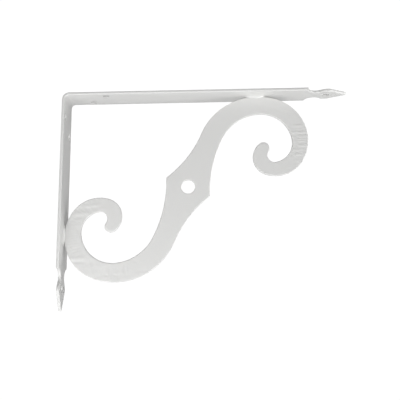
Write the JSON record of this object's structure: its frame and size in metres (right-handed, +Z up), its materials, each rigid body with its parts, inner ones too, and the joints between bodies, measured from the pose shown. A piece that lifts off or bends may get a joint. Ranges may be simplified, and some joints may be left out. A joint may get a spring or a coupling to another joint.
{
  "type": "decorative shelf bracket",
  "caption": "White painted steel shelf bracket: a flat bar bent square with spear-shaped ends, braced by an S-shaped scroll plate.",
  "frame": {"origin": "on the wall face, at half the wall arm's height and in the middle of the bar's width", "axes": "+X out from the wall under the shelf, +Y across the bar, +Z up"},
  "size_m": [0.2, 0.02, 0.15],
  "materials": {
    "bar_paint": "satin white paint",
    "scroll_paint": "satin white paint over light hammer marks"
  },
  "bodies": {
    "root": {"bar": "bar_paint", "scroll": "scroll_paint"}
  },
  "joints": []
}
